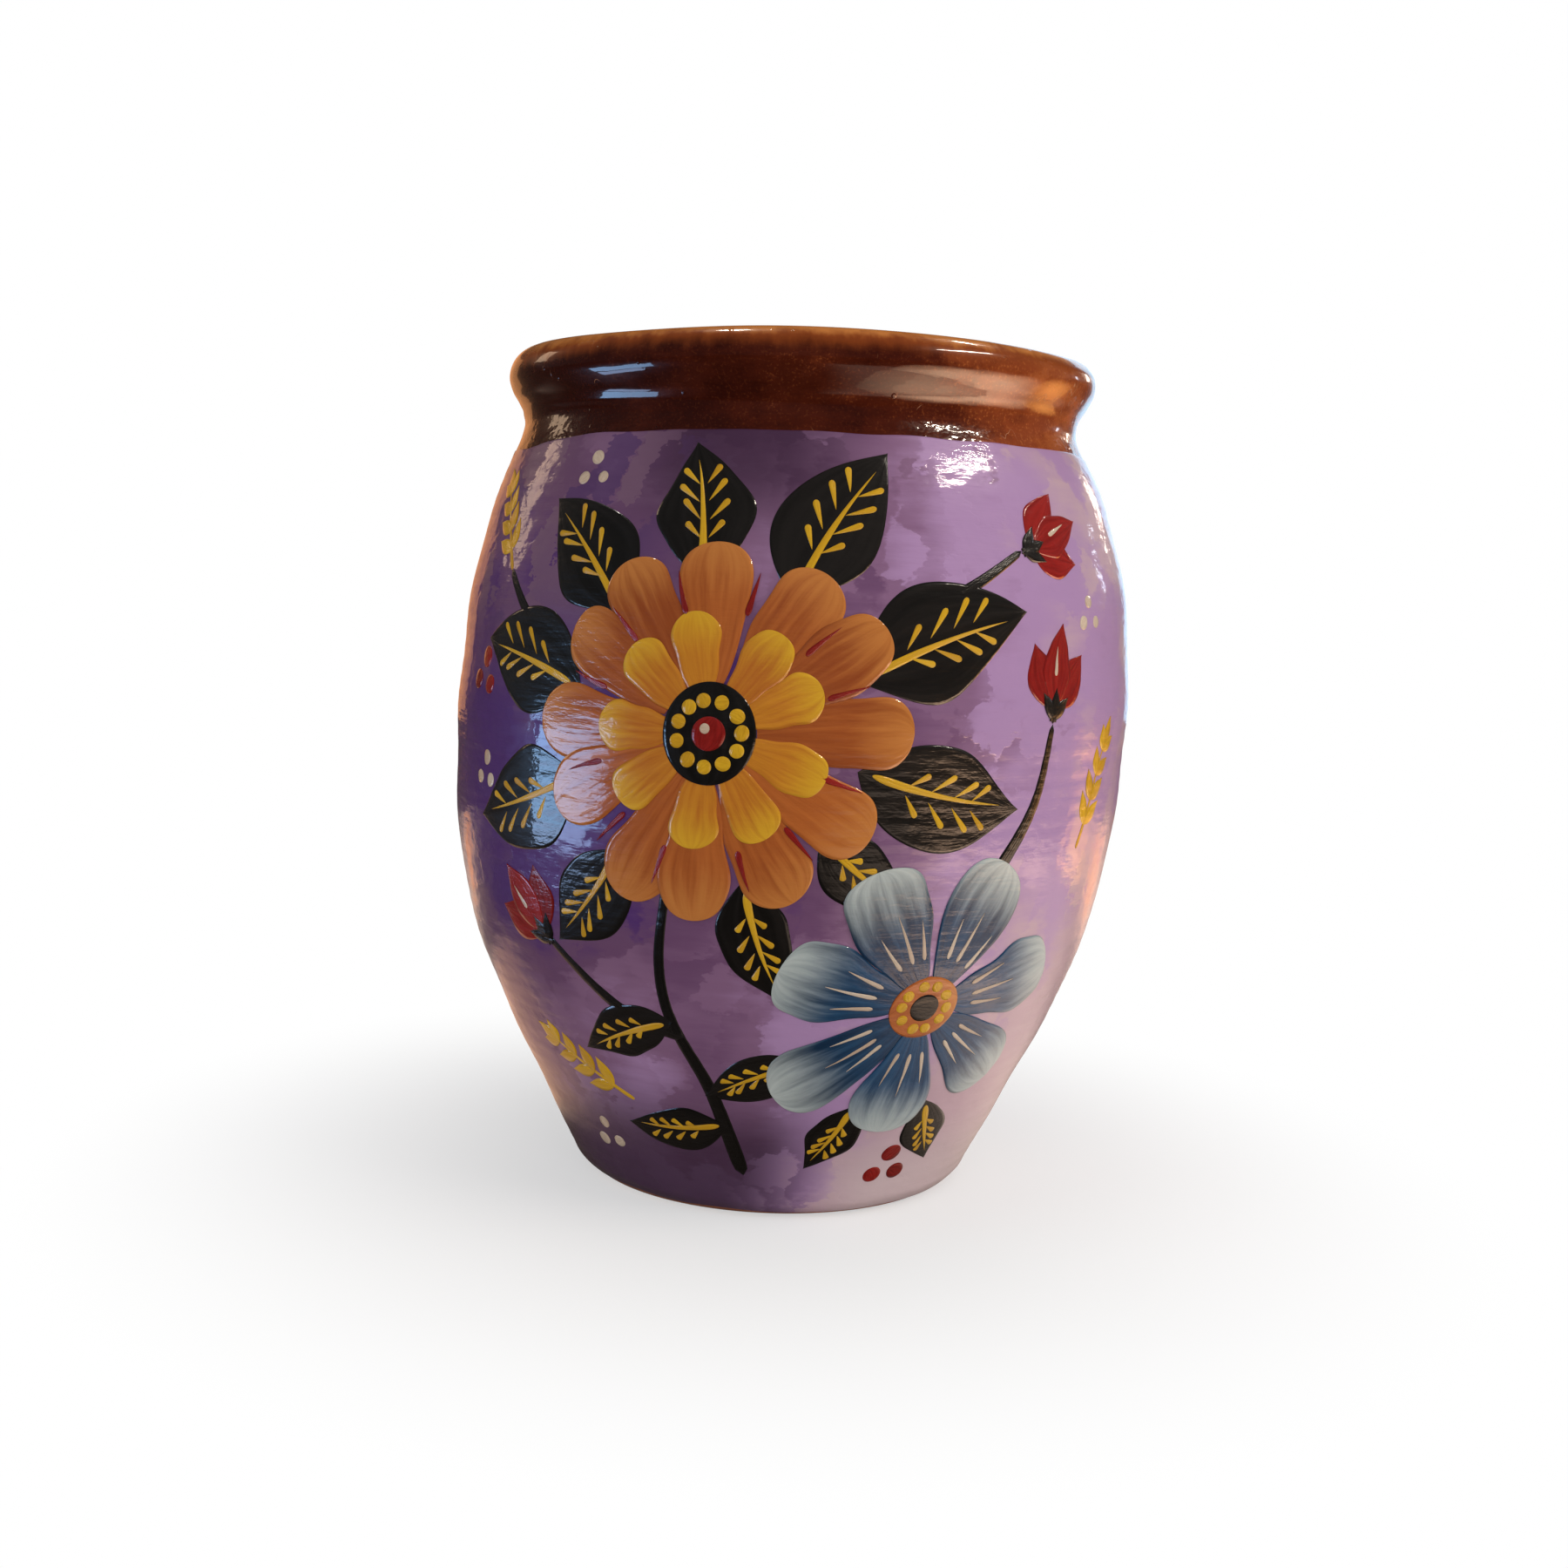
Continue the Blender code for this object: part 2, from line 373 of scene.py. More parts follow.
class Finish:
    """A material with a Principled shader, and short calls for the nodes that feed it."""

    def __init__(self, name, **sockets):
        self.material = bpy.data.materials.new(name)
        self.material.use_nodes = True
        self.tree = self.material.node_tree
        self.shader = self.tree.nodes["Principled BSDF"]
        for socket, value in sockets.items():
            self.shader.inputs[socket.replace("_", " ")].default_value = value
        self.place = self.node("ShaderNodeTexCoord").outputs["Object"]

    def node(self, kind, inputs=(), **settings):
        """A node with settings, and with inputs by name or number, each set or linked."""
        made = self.tree.nodes.new(kind)
        for setting, value in settings.items():
            setattr(made, setting, value)
        for socket, value in dict(inputs).items():
            self.link(value, made.inputs[socket])
        return made

    def link(self, value, socket):
        if isinstance(value, bpy.types.NodeSocket):
            self.tree.links.new(value, socket)
        else:
            socket.default_value = value

    def feed(self, socket, value):
        self.link(value, self.shader.inputs[socket])

    def emboss(self, relief):
        self.feed("Normal", relief)
        self.feed("Coat Normal", relief)

    def attribute(self, name):
        vector = self.node("ShaderNodeAttribute", attribute_name=name).outputs["Vector"]
        return self.node("ShaderNodeSeparateXYZ", {0: vector}).outputs

    def stretched(self, size, place=None):
        """The place in steps of a size, which is in metres along x, y and z."""
        scale = [1 / side for side in size]
        return self.node("ShaderNodeMapping", {"Vector": place or self.place, "Scale": scale}).outputs[0]

    def wobbled(self, size, reach):
        """The place on the object, pushed about by noise of a size."""
        push = self.node("ShaderNodeTexNoise", {"Vector": self.stretched(size), "Scale": 1.0, "Detail": 4.0})
        inputs = {0: push.outputs["Color"], 1: (2 * reach,) * 3, 2: self.place}
        return self.node("ShaderNodeVectorMath", inputs, operation="MULTIPLY_ADD").outputs[0]

    def facing(self, azimuth):
        """How far a place on the wall faces an azimuth in degrees: 1 towards it, -1 away from it."""
        turn = math.radians(azimuth)
        flat = self.node("ShaderNodeVectorMath", {0: self.place, 1: (1.0, 1.0, 0.0)}, operation="MULTIPLY")
        unit = self.node("ShaderNodeVectorMath", {0: flat.outputs[0]}, operation="NORMALIZE")
        inputs = {0: unit.outputs[0], 1: (math.sin(turn), -math.cos(turn), 0.0)}
        return self.node("ShaderNodeVectorMath", inputs, operation="DOT_PRODUCT").outputs["Value"]

    def height(self):
        return self.node("ShaderNodeSeparateXYZ", {0: self.place}).outputs["Z"]

    def total(self, *terms):
        """The sum of values, each times its weight."""
        result = None
        for value, weight in terms:
            term = self.times(value, weight)
            result = term if result is None else self.math("ADD", result, term)
        return result

    def noise(self, size, detail, place=None):
        inputs = {"Vector": self.stretched(size, place), "Scale": 1.0, "Detail": detail, "Roughness": 0.55}
        return self.node("ShaderNodeTexNoise", inputs).outputs["Fac"]

    def cells(self, size, place=None):
        inputs = {"Vector": self.stretched(size, place), "Scale": 1.0, "Smoothness": 0.12}
        return self.node("ShaderNodeTexVoronoi", inputs, feature="SMOOTH_F1").outputs

    def math(self, operation, first, second=0.0):
        return self.node("ShaderNodeMath", {0: first, 1: second}, operation=operation).outputs[0]

    def times(self, first, second):
        return self.math("MULTIPLY", first, second)

    def less(self, first, second):
        return self.math("SUBTRACT", first, second)

    def between(self, value, low, high, out_low=0.0, out_high=1.0):
        """The value's share of the way from low to high, with an even start and end."""
        inputs = enumerate((value, low, high, out_low, out_high))
        return self.node("ShaderNodeMapRange", inputs, interpolation_type="SMOOTHSTEP").outputs[0]

    def mix(self, share, *colours):
        first, second = (
            colour if isinstance(colour, bpy.types.NodeSocket) else (*colour, 1.0) for colour in colours)
        inputs = {"Factor": share, 6: first, 7: second}
        return self.node("ShaderNodeMix", inputs, data_type="RGBA").outputs[2]

    def bump(self, height, depth, under=None):
        inputs = {"Height": height, "Strength": 1.0, "Distance": depth}
        if under is not None:
            inputs["Normal"] = under
        return self.node("ShaderNodeBump", inputs).outputs[0]


VARNISH = {"Coat_Weight": 0.5, "Coat_Roughness": 0.03, "Coat_IOR": 1.48, "Specular_IOR_Level": 0.1}
GLAZE = {"Coat_Weight": 0.4, "Coat_Roughness": 0.03, "Coat_IOR": 1.48, "Specular_IOR_Level": 0.05}


def purple_paint():
    """Purple laid on in ragged dabs under glossy varnish, deep violet on the left and lilac on the right; the
    lilac is partly the paint's own blend and partly painted light from the right.
    """
    finish = Finish("purple_paint", **VARNISH)
    streak = finish.noise((9 * MM, 9 * MM, 1.2 * MM), detail=5)
    hair = finish.noise((5 * MM, 5 * MM, 0.28 * MM), detail=3)
    lump = finish.noise((3.4 * MM, 3.4 * MM, 2.2 * MM), detail=1.5)
    ragged = finish.wobbled((1.8 * MM, 1.8 * MM, 1.0 * MM), 1.9 * MM)
    dab = finish.cells((6 * MM, 6 * MM, 6.5 * MM), ragged)["Color"]
    smear = finish.cells((13 * MM, 13 * MM, 19 * MM), ragged)["Color"]
    cloud = finish.noise((26 * MM, 26 * MM, 20 * MM), detail=3)
    side, height = finish.facing(90), finish.height()
    off_middle = finish.math("ABSOLUTE", finish.less(height, 62 * MM))
    leftward = finish.between(side, 0.5, -0.9)
    low_right_sheen = finish.between(finish.total((finish.facing(52), 0.7), (height, -8.0)), 0.05, 0.62)
    low_left = finish.times(finish.between(height, 50 * MM, 28 * MM), finish.between(side, -0.15, -0.5))
    upper_left = finish.times(finish.between(height, 74 * MM, 86 * MM), finish.between(side, -0.2, -0.5))
    patch = finish.cells((6 * MM, 6 * MM, 9 * MM), ragged)["Color"]
    # Tone: lighter to the right, partly painted light from the right; lighter on the left above and below the
    # middle and at the lower right, painted reflections of lit surroundings; cloud, smears, dabs and streaks
    # are the paint's own.
    tone = finish.total(
        (side, 2.3), (finish.times(off_middle, leftward), 44.0), (low_right_sheen, 1.3), (low_left, 0.6),
        (cloud, 2.8), (smear, 0.80), (dab, 0.85), (streak, 0.5))
    tone = finish.less(tone, 1.15)
    colour = finish.mix(finish.between(tone, 0.2, 1.0), (0.082, 0.027, 0.158), (0.150, 0.067, 0.150))
    colour = finish.mix(finish.between(tone, 1.2, 1.9), colour, (0.235, 0.120, 0.225))
    colour = finish.mix(finish.between(tone, 1.9, 2.7), colour, (0.403, 0.244, 0.445))
    colour = finish.mix(finish.between(tone, 3.0, 3.9), colour, (0.510, 0.345, 0.405))
    # Painted shade: darker plum on the shoulder below the glaze and near the foot, on the left and in the
    # middle, away from the key light.
    top = finish.times(
        finish.between(height, 89 * MM, 101 * MM), finish.between(side, -0.58, -0.28, 0.15, 1.0))
    ends = finish.math("ADD", top, finish.between(height, 24 * MM, 10 * MM))
    shaded = finish.between(finish.total((side, 1.0), (smear, 0.16), (dab, 0.14)), 0.44, 0.04, 0.0, 0.88)
    plum_shade = finish.times(ends, shaded)
    colour = finish.mix(plum_shade, colour, (0.046, 0.017, 0.046))
    # Painted reflection: lighter mauve patches on the upper left stand in for reflections in the varnish.
    painted_sheen = finish.times(upper_left, finish.between(patch, 0.50, 0.58, 0.0, 0.75))
    colour = finish.mix(painted_sheen, colour, (0.185, 0.100, 0.160))
    deep = finish.times(upper_left, finish.between(patch, 0.34, 0.26, 0.0, 0.70))
    colour = finish.mix(deep, colour, (0.078, 0.034, 0.128))
    # Painted reflection: the lower right near the foot is paler, as if mirroring a lit table.
    foot_reflection = finish.times(finish.between(height, 18 * MM, 4 * MM), finish.between(side, 0.12, 0.50))
    colour = finish.mix(foot_reflection, colour, (0.62, 0.49, 0.51))
    finish.feed("Base Color", colour)
    finish.feed("Roughness", finish.between(streak, 0.2, 0.8, 0.30, 0.45))
    relief = finish.bump(streak, 0.05 * MM)
    relief = finish.bump(lump, 0.13 * MM, relief)
    relief = finish.bump(dab, 0.03 * MM, relief)
    relief = finish.bump(hair, 0.014 * MM, relief)
    finish.emboss(relief)
    return finish.material


def brown_glaze():
    """Glaze that is dark where thick, breaks to amber on the lip and glitters with fine orange grain; it is
    darker on the left and lighter, more orange on the right, partly painted light.
    """
    finish = Finish("brown_glaze", **GLAZE)
    cloud = finish.noise((9 * MM, 9 * MM, 3 * MM), detail=5)
    grain = finish.noise((0.35 * MM,) * 3, detail=2)
    run = finish.noise((2.2 * MM, 2.2 * MM, 16 * MM), detail=3)
    side = finish.facing(90)
    # Lighter, more orange glaze to the right and darker to the left: partly thinner glaze, partly painted
    # light and painted shade from the right-hand key light; the orange grain below follows it, so it shows
    # most on the lit right.
    thin = finish.total(
        (finish.between(side, 0.30, 0.85), 0.30), (finish.between(side, 0.0, -1.0), -0.22),
        (cloud, 0.5), (run, 0.12), (grain, 0.10))
    colour = finish.mix(finish.between(thin, 0.20, 0.42), (0.028, 0.0028, 0.0010), (0.064, 0.0080, 0.0018))
    colour = finish.mix(finish.between(thin, 0.38, 0.58), colour, (0.230, 0.0440, 0.0100))
    colour = finish.mix(finish.between(thin, 0.58, 0.74), colour, (0.360, 0.0900, 0.0220))
    speck = finish.times(finish.between(grain, 0.56, 0.70), finish.between(thin, 0.34, 0.66, 0.05, 0.70))
    colour = finish.mix(speck, colour, (0.42, 0.120, 0.028))
    # Amber where the glaze breaks thin over the lip; on the left it reaches further down, partly a painted
    # warm reflection.
    crest = finish.total(
        (finish.height(), 1 / MM), (finish.between(side, -0.35, -0.85), 0.9), (run, 2.2), (cloud, 1.2))
    colour = finish.mix(finish.between(crest, 116.7, 119.2), colour, (0.235, 0.0500, 0.0090))
    colour = finish.mix(finish.between(crest, 118.6, 120.0), colour, (0.550, 0.1900, 0.0400))
    line = finish.math("ABSOLUTE", finish.less(finish.noise((5 * MM, 5 * MM, 7 * MM), detail=2), 0.5))
    scratched = finish.between(finish.noise((13 * MM, 13 * MM, 6 * MM), detail=1), 0.62, 0.68)
    scratch = finish.times(finish.between(line, 0.0055, 0.0020), scratched)
    colour = finish.mix(finish.times(scratch, 0.8), colour, (0.46, 0.200, 0.095))
    finish.feed("Base Color", colour)
    finish.feed("Roughness", finish.between(cloud, 0.3, 0.7, 0.18, 0.30))
    beads = finish.between(finish.cells((3.4 * MM,) * 3)["Distance"], 0.11, 0.05)
    relief = finish.bump(finish.noise((6 * MM, 6 * MM, 1.6 * MM), detail=2), 0.04 * MM)
    relief = finish.bump(beads, 0.07 * MM, relief)
    wiped = finish.between(finish.height(), 109.5 * MM, 107.0 * MM)
    wiped = finish.times(finish.noise((2.2 * MM, 2.2 * MM, 1.3 * MM), detail=2), wiped)
    relief = finish.bump(wiped, 0.12 * MM, relief)
    relief = finish.bump(scratch, 0.03 * MM, relief)
    finish.emboss(relief)
    return finish.material


def red_clay():
    finish = Finish("red_clay")
    cloud = finish.noise((11 * MM, 11 * MM, 11 * MM), detail=5)
    grain = finish.noise((0.5 * MM,) * 3, detail=3)
    colour = finish.mix(finish.between(cloud, 0.3, 0.7), (0.33, 0.105, 0.042), (0.47, 0.170, 0.070))
    colour = finish.mix(finish.between(grain, 0.62, 0.74, 0.0, 0.55), colour, (0.62, 0.36, 0.20))
    colour = finish.mix(finish.between(grain, 0.36, 0.28, 0.0, 0.6), colour, (0.10, 0.035, 0.018))
    finish.feed("Base Color", colour)
    finish.feed("Roughness", finish.between(cloud, 0.3, 0.7, 0.78, 0.92))
    finish.feed("Normal", finish.bump(grain, 0.16 * MM))
    return finish.material


def brushed(name, dark, light, tip=None, tip_from=0.35, tip_to=1.0):
    """Paint laid on with a brush: streaks along each stroke, and a second colour towards its tip."""
    finish = Finish(name, **VARNISH)
    along, across, tone = finish.attribute("stroke")
    inputs = {0: finish.times(along, 1.6), 1: finish.times(across, 4.5), 2: finish.times(tone, 60.0)}
    place = finish.node("ShaderNodeCombineXYZ", inputs).outputs[0]
    streak = finish.noise((1.0, 1.0, 1.0), detail=4, place=place)
    shade = finish.math("ADD", finish.times(finish.less(streak, 0.5), 1.3), tone)
    colour = finish.mix(finish.between(shade, 0.05, 0.95), dark, light)
    if tip is not None:
        reach = finish.math("ADD", along, finish.times(finish.less(streak, 0.5), 0.55))
        colour = finish.mix(finish.between(reach, tip_from, tip_to), colour, tip)
    finish.feed("Base Color", colour)
    finish.feed("Roughness", finish.between(streak, 0.3, 0.7, 0.28, 0.42))
    relief = finish.bump(streak, 0.07 * MM)
    relief = finish.bump(finish.noise((7 * MM, 7 * MM, 0.9 * MM), detail=4), 0.09 * MM, relief)
    relief = finish.bump(finish.noise((3.2 * MM, 3.2 * MM, 2.0 * MM), detail=3), 0.10 * MM, relief)
    finish.emboss(relief)
    return finish.material


# Pot


def pot_paint(finish):
    azimuth = around()
    dip = np.exp(-((azimuth - PAINT_TOP_DIP_AZIMUTH) / PAINT_TOP_DIP_WIDTH) ** 2)
    top = PAINT_TOP + PAINT_TOP_TILT * np.sin(azimuth) - PAINT_TOP_DIP * dip
    top = top + PAINT_TOP_RAGGED * ripple(azimuth, 0.0, 21, 1.0, 24)
    foot = PAINT_FOOT + PAINT_FOOT_RAGGED * ripple(azimuth, 0.0, 22, 1.0, 14)
    low, high = length_at(foot), length_at(top)
    close = edge_spacing(EDGE_ROWS) * EDGE_ROUND
    rings = []
    for step in close:
        rings.append((low + step, FOOT_EDGE_DROP * (1 - math.sqrt(1 - (1 - step / EDGE_ROUND) ** 2))))
    for share in np.linspace(0, 1, PAINT_ROWS):
        rings.append((low + EDGE_ROUND + (high - low - 2 * EDGE_ROUND) * share, 0.0))
    for step in close[::-1]:
        rings.append((high - step, TOP_EDGE_DROP * (1 - math.sqrt(1 - (1 - step / EDGE_ROUND) ** 2))))
    face = []
    for length, drop in rings:
        feather = FOOT_FEATHER_DROP * (1 - smooth(length - low, 0.0, FOOT_FEATHER))
        face.append(on_wall(azimuth, length, -drop - feather))
    back = []
    for share in np.linspace(0.999, 0.001, BACK_ROWS):
        back.append(on_wall(azimuth, low + (high - low) * share, COAT_BACK - PAINT_FACE))
    return turned("purple_coat", np.array(face + back)[::-1], True, finish)


def glaze_face(azimuth, path, normal, length):
    """The glaze's visible side. Its lift and its marks change from the inside over the lip to the neck."""
    radius, height = path.T
    outside = smooth(length, LIP_START, LIP_END)
    thin = smooth(height, GLAZE_THINS_TO, GLAZE_THINS_FROM)
    lift = GLAZE_FACE + (GLAZE_UNDER_PAINT - GLAZE_FACE) * outside * (1 - thin)
    fade = smooth(length, *INSIDE_GROWS) * (1 - smooth(length, LIP_START - INSIDE_FADES, LIP_START))
    rings = []
    for index, (side, up) in enumerate(normal):
        spiral = np.cos(TURN * length[index] / INSIDE_PITCH - azimuth)
        spiral = spiral * (0.8 + 0.5 * ripple(azimuth, length[index], 5, 40 * MM, 2))
        marks = outside[index] * throwing_marks(azimuth, height[index]) + fade[index] * INSIDE_DEPTH * spiral
        out = lift[index] + marks
        rings.append(thrown(azimuth, radius[index] + side * out, height[index] + up * out))
    return rings


def sampled(values, length, places):
    """Pairs of values along a path, read at places along it."""
    return np.column_stack([np.interp(places, length, values[:, axis]) for axis in (0, 1)])


def resampled(path, spacing):
    """The path again, with points a spacing apart, where spacing gives one for each length."""
    length = lengths(path)
    places = [0.0]
    while places[-1] < length[-1]:
        places.append(places[-1] + spacing(places[-1]))
    places = np.array(places[:-1] + [length[-1]])
    return sampled(path, length, places), places


def pot_glaze(finish):
    azimuth = around()
    outside = OUTER[OUTER[:, 1] >= GLAZE_END]
    path = joined(INSIDE, LIP, outside)
    normal = normals(path)
    whole = lengths(path)
    fine_from = LIP_START - GLAZE_LIP_MARGIN
    fine, length = resampled(path, lambda place: GLAZE_INSIDE_STEP if place < fine_from else GLAZE_LIP_STEP)
    face = glaze_face(azimuth, fine, sampled(normal, whole, length), length)
    coarse, coarse_length = resampled(path, lambda place: GLAZE_BACK_STEP)
    coarse_normal = sampled(normal, whole, coarse_length)
    coarse_normal[0] = (0.0, 1.0)
    back = []
    for place, side in list(zip(coarse, coarse_normal))[::-1]:
        back.append(thrown(azimuth, place[0] + side[0] * COAT_BACK, place[1] + side[1] * COAT_BACK))
    return turned("glaze_lining", np.array(face + back), False, finish)


def pot_clay(finish):
    """The clay under the coats. It shows on the underside, where a wire cut it off the wheel."""
    azimuth = around()
    outer, _ = resampled(OUTER, lambda place: CLAY_OUTER_STEP)
    inner, _ = resampled(INSIDE, lambda place: CLAY_INNER_STEP)
    lip, _ = resampled(LIP, lambda place: CLAY_LIP_STEP)
    rings = [thrown(azimuth, radius, height) for radius, height in joined(inner, lip, outer)]
    for radius in np.linspace(FOOT_FLAT_RADIUS, 0, UNDERSIDE_RINGS)[1:]:
        x, y = radius * np.sin(azimuth), -radius * np.cos(azimuth)
        bow = np.hypot(x - WIRE_BOW_SIDE, y + WIRE_BOW_RADIUS)
        cut = 0.5 + 0.5 * np.cos(TURN * bow / WIRE_PITCH + 2.0 * np.sin(x / WIRE_WAVER))
        depth = WIRE_DEPTH * cut * smooth(FOOT_FLAT_RADIUS - radius, 0.0, WIRE_RIM)
        rings.append(thrown(azimuth, radius, 0.0) + np.stack([0 * depth, 0 * depth, depth], axis=-1))
    return turned("clay_pot", np.array(rings), False, finish)


# Brush strokes


hand = np.random.default_rng(HAND_SEED)


def along_stroke(length):
    """Shares of a stroke's length, closer together at its two ends."""
    steps = max(ALONG_LEAST, round(1.5 * length / GRID_STEP))
    return (1 - np.cos(np.linspace(0, math.pi, steps))) / 2


def petal_shape(u):
    return (0.22 + 0.78 * u ** 0.8) * np.sqrt(np.clip(1 - u ** 5, 0, 1))


def leaf_shape(u):
    return np.sin(math.pi * u ** 0.85) ** 1.1


def comma_shape(u):
    head = np.sqrt(np.clip(1 - np.clip(1 - u / 0.16, 0, 1) ** 2, 0, 1))
    return head * (1 - u) ** 0.75


def dot_shape(u):
    return np.sqrt(np.clip(1 - (2 * u - 1) ** 2, 0, 1))


def stem_shape(u):
    return (0.45 + 0.55 * (1 - u)) * np.sqrt(np.clip(1 - np.abs(2 * u - 1) ** 24, 0, 1))


def stroke(place, line, half_width, layer, tone=None):
    """One brush stroke as a grid of points on the wall, with how far along and across it each one lies.

    A place is an azimuth in degrees and a height. The line runs in the plane that touches the wall there,
    x right and y up.
    """
    azimuth, height = math.radians(place[0]), place[1]
    tone = hand.uniform(0.25, 0.75) if tone is None else tone
    across = np.linspace(-1, 1, max(ACROSS_LEAST, round(2 * half_width.max() / GRID_STEP)))
    heading = np.gradient(line, axis=0)
    heading /= np.hypot(*heading.T)[:, None]
    left = np.column_stack([-heading[:, 1], heading[:, 0]])
    spot = line[:, None] + left[:, None] * (half_width[:, None] * across)[..., None]
    lift = PAINT_STEP * layer + PAINT_CROWN * (1 - across ** 2) * np.ones((len(line), 1))
    spot = np.pad(spot, ((1, 1), (1, 1), (0, 0)), mode="edge")
    lift = np.pad(lift, 1, constant_values=-PAINT_SINK)
    length = length_at(height) + spot[..., 1]
    points = on_wall(azimuth + spot[..., 0] / radius_at(length), length, lift)
    share = lengths(line) / lengths(line)[-1]
    share = np.pad(share, 1, mode="edge")[:, None] * np.ones(len(across) + 2)
    side = np.pad(across, 1, mode="edge") * np.ones((len(line) + 2, 1))
    return points, np.stack([share, side, np.full_like(share, tone)], axis=-1)


def towards(turn):
    """A unit step at an angle from x."""
    return np.array((math.cos(turn), math.sin(turn)))


def course(u, angle, start, length, bend):
    """Points and headings of a stroke that sets out a start away at an angle, and bends evenly."""
    heading = math.radians(angle) + math.radians(bend) * (u - 0.5)
    step = np.diff(u, prepend=0.0)[:, None]
    line = np.cumsum(step * np.column_stack([np.cos(heading), np.sin(heading)]), axis=0) * length
    return line + start * towards(math.radians(angle)), heading


def drawn(place, angle, start, length, width, shape, layer, bend=0.0, tone=None):
    """A stroke near a place on the wall. Degrees and metres."""
    u = along_stroke(length)
    line, _ = course(u, angle, start, length, bend)
    uneven = 1 + 0.05 * np.sin(TURN * (u * hand.uniform(1, 2.5) + hand.uniform()))
    half = np.maximum(shape(u) * uneven * width / 2, THINNEST)
    return stroke(place, line, half, layer, tone)


def dot(place, x, y, radius, layer, tone=None):
    u = along_stroke(2 * radius)
    tilt = hand.uniform(0, math.pi)
    line = np.array((x, y)) + (2 * u - 1)[:, None] * towards(tilt) * radius * hand.uniform(0.95, 1.12)
    half = np.maximum(dot_shape(u) * radius, THINNEST)
    return stroke(place, line, half, layer, tone)


def stem(places, width, layer):
    """A stem through places on the wall."""
    middle = places[len(places) // 2]
    knots = []
    for azimuth, height in places:
        length = length_at(height)
        aside = (math.radians(azimuth) - math.radians(middle[0])) * radius_at(length)
        knots.append((aside, length - length_at(middle[1])))
    knots = np.array(knots)
    ends = np.vstack([2 * knots[0] - knots[1], knots, 2 * knots[-1] - knots[-2]])
    line = []
    for before, here, there, beyond in zip(ends, ends[1:], ends[2:], ends[3:]):
        t = np.linspace(0, 1, KNOT_STEPS, endpoint=False)[:, None]
        square = 2 * before - 5 * here + 4 * there - beyond
        cube = 3 * here - before - 3 * there + beyond
        line.append(0.5 * (2 * here + (there - before) * t + square * t ** 2 + cube * t ** 3))
    line = np.vstack(line + [knots[-1:]])
    share = lengths(line) / lengths(line)[-1]
    half = np.maximum(stem_shape(share) * width / 2, THINNEST_STEM)
    return stroke(middle, line, half, layer)


def stroke_faces(rows, columns, first):
    """Faces of one stroke: its top and sides, and its back between its two long edges.

    The first two and the last two rows lie one above the other, so the back skips the inner ones.
    """
    index = first + np.arange(rows * columns).reshape(rows, columns)
    low, high = index[:-1], index[1:]
    top = np.stack([low[:, :-1], high[:, :-1], high[:, 1:], low[:, 1:]], axis=-1).reshape(-1, 4).tolist()
    back = [[index[i, 0], index[i, -1], index[i + 1, -1], index[i + 1, 0]] for i in range(2, rows - 3)]
    start = index[0].tolist() + [index[2, -1], index[2, 0]]
    end = index[-1][::-1].tolist() + [index[-3, 0], index[-3, -1]]
    return top + [[int(value) for value in face] for face in back + [start, end]]


def painted(name, strokes, finish):
    points, marks, faces = [], [], []
    first = 0
    for grid, mark in strokes:
        faces.extend(stroke_faces(*grid.shape[:2], first))
        points.append(grid.reshape(-1, 3))
        marks.append(mark.reshape(-1, 3))
        first += grid.shape[0] * grid.shape[1]
    made = mesh_object(name, np.vstack(points), faces, finish, {"stroke": np.vstack(marks)})
    whole = bmesh.new()
    whole.from_mesh(made.data)
    bmesh.ops.remove_doubles(whole, verts=whole.verts, dist=WELD)
    whole.to_mesh(made.data)
    whole.free()
    return made


# Garland


garland = {colour: [] for colour in ("black", "orange", "gold", "yellow", "red", "blue", "cream")}


def jitter(size):
    return hand.uniform(-size, size)


def lay(colour, laid):
    garland[colour].append(laid)


def orange_flower(place, size):
    """An orange flower with two rings of petals round a dark, seeded eye."""
    for index in range(12):
        angle = 360 * index / 12 + jitter(4)
        length = size * (0.74 + jitter(0.04))
        lay("orange", drawn(
            place, angle, size * 0.24, length, size * 0.50, petal_shape, 3 + index % 2, jitter(14)))
    for index in range(9):
        angle = 360 * (index + 0.5) / 9 + jitter(5)
        lay("gold", drawn(
            place, angle, size * 0.16, size * (0.44 + jitter(0.03)), size * 0.34, petal_shape,
            5 + index % 2, jitter(14)))
    for index in range(12):
        angle = 360 * (index + 0.5) / 12 + jitter(4)
        lay("red", drawn(place, angle, size * 0.60, size * 0.22, size * 0.035, comma_shape, 5, jitter(10)))
    lay("black", dot(place, 0, 0, size * 0.235, 7))
    for index in range(11):
        angle = math.radians(360 * index / 11 + jitter(5))
        lay("yellow", dot(place, *(size * 0.165 * towards(angle)), size * 0.037, 8))
    lay("red", dot(place, 0, 0, size * 0.085, 8))
    lay("cream", dot(place, -size * 0.02, size * 0.025, size * 0.026, 9))


